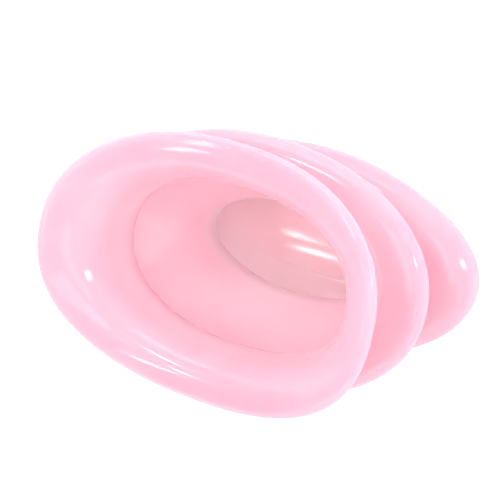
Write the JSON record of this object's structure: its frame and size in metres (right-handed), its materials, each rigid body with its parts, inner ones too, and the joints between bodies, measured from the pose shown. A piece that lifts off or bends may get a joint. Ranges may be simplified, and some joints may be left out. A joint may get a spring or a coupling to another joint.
{
  "type": "silicone cupping cup",
  "caption": "Hand-squeezed oval bellows cup of soft silicone: flared saddle mouth with a rounded lip, two throats, two bulges and a closed end with a flat land.",
  "frame": {"origin": "centre of the flat land under the closed end, on the surface that the cup stands on", "axes": "+Z along the cup's axis, out of the mouth; X along the long way of the oval; Y along its short way"},
  "size_m": [0.065, 0.0436, 0.0516],
  "materials": {
    "mouth_silicone": "glossy translucent moulded silicone, light pink",
    "body_silicone": "glossy translucent moulded silicone, pink"
  },
  "bodies": {
    "closed_end": {"end_land": "body_silicone", "end_wall": "body_silicone", "rear_rim": "body_silicone", "rear_web": "body_silicone"},
    "rear_throat_ring": {"rear_throat": "body_silicone", "middle_web": "body_silicone"},
    "front_bulge_ring": {"front_rim": "body_silicone", "front_web": "body_silicone"},
    "mouth": {"front_throat": "mouth_silicone", "mouth_flare": "mouth_silicone", "mouth_lip": "mouth_silicone"}
  },
  "joints": [
    {"name": "mouth_squeeze", "type": "slide", "parent": "closed_end", "child": "mouth", "axis": [0, 0, -1], "range_m": [0, 0.012], "stiffness_N_per_m": 900, "deforming": ["front_web", "middle_web", "rear_web"]},
    {"name": "front_bulge_sink", "type": "slide", "parent": "closed_end", "child": "front_bulge_ring", "axis": [0, 0, -1], "range_m": [0, 0.0112], "stiffness_N_per_m": 300},
    {"name": "rear_throat_sink", "type": "slide", "parent": "closed_end", "child": "rear_throat_ring", "axis": [0, 0, -1], "range_m": [0, 0.0033], "stiffness_N_per_m": 300}
  ],
  "couplings": [
    {"joint": "front_bulge_sink", "follows": "mouth_squeeze", "ratio": 0.919},
    {"joint": "rear_throat_sink", "follows": "mouth_squeeze", "ratio": 0.269}
  ]
}
